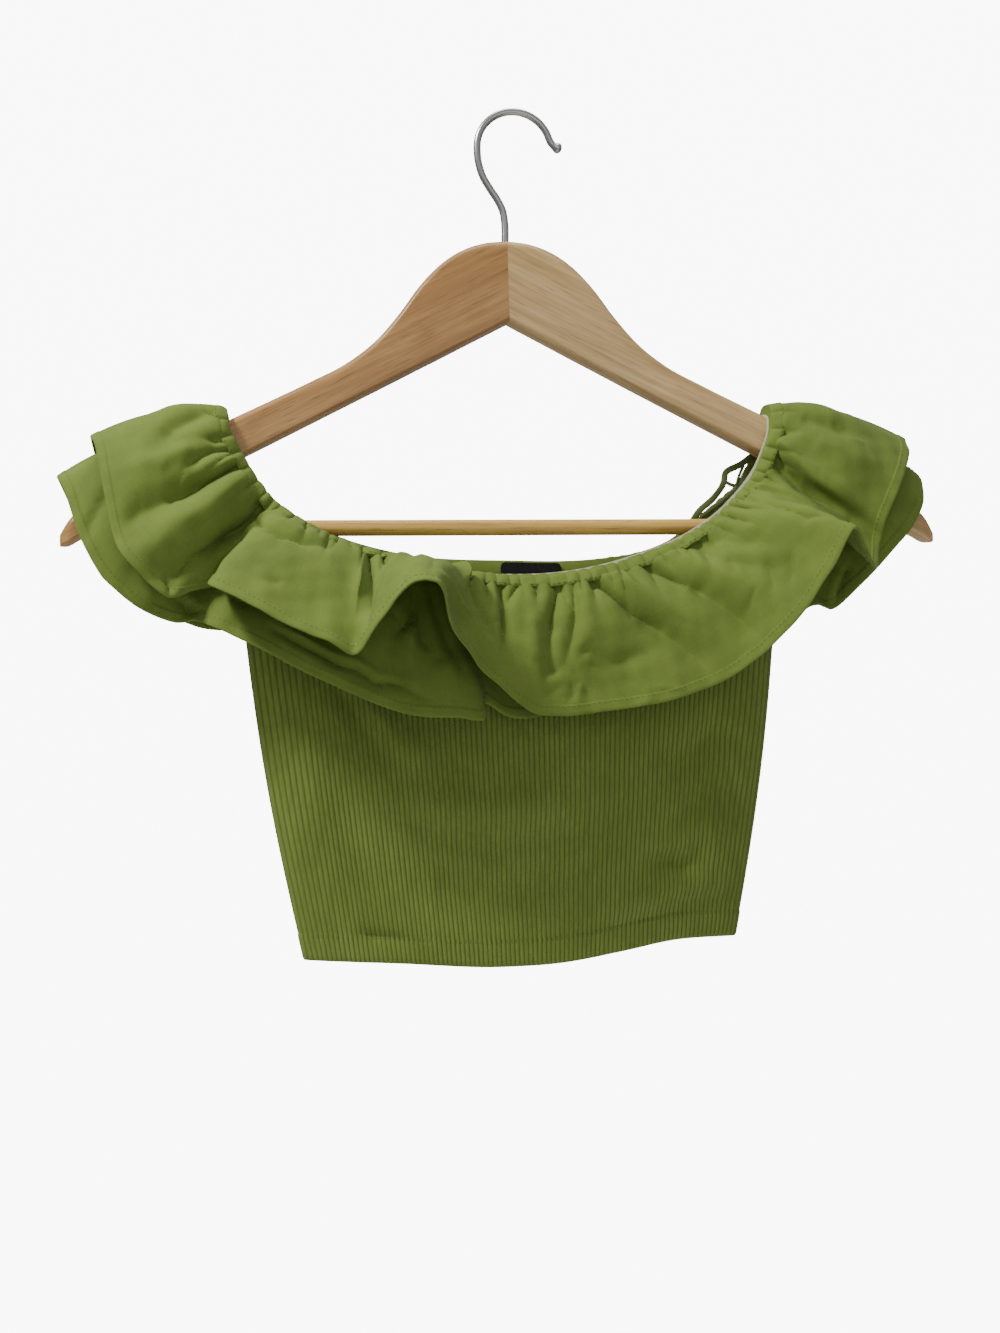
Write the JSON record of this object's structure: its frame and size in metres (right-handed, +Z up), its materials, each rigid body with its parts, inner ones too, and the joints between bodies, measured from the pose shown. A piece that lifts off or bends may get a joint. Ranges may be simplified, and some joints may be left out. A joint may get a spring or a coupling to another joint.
{
  "type": "off-shoulder top on a wooden hanger",
  "caption": "Cropped off-shoulder top in rib knit with a two-tier cotton ruffle at the neckline, hanging on a wooden hanger with a bar and a wire hook.",
  "frame": {"origin": "inner top of the hook's bend, the point that a rail touches", "axes": "+Z up, -Y towards the front of the garment, +X along the hanger to the garment's left shoulder"},
  "size_m": [0.4418, 0.1589, 0.4352],
  "materials": {
    "ruffle_cotton": "plain woven cotton, matte",
    "rib_knit": "fine ribbed cotton knit, matte",
    "cream_elastic": "woven elastic, matte",
    "black_label": "woven satin label, bare",
    "varnished_wood": "clear satin varnish",
    "hook_steel": "zinc-plated wire"
  },
  "bodies": {
    "root": {"ruffle_upper_front": "ruffle_cotton", "ruffle_upper_back": "ruffle_cotton", "ruffle_lower_front": "ruffle_cotton", "ruffle_lower_back": "ruffle_cotton", "body_front": "rib_knit", "body_back": "rib_knit", "neck_casing": "ruffle_cotton", "neck_elastic": "cream_elastic", "neck_label": "black_label", "hang_tape": "ruffle_cotton", "hanger_left": "varnished_wood", "hanger_right": "varnished_wood", "hanger_bar": "varnished_wood", "hook": "hook_steel"}
  },
  "joints": []
}
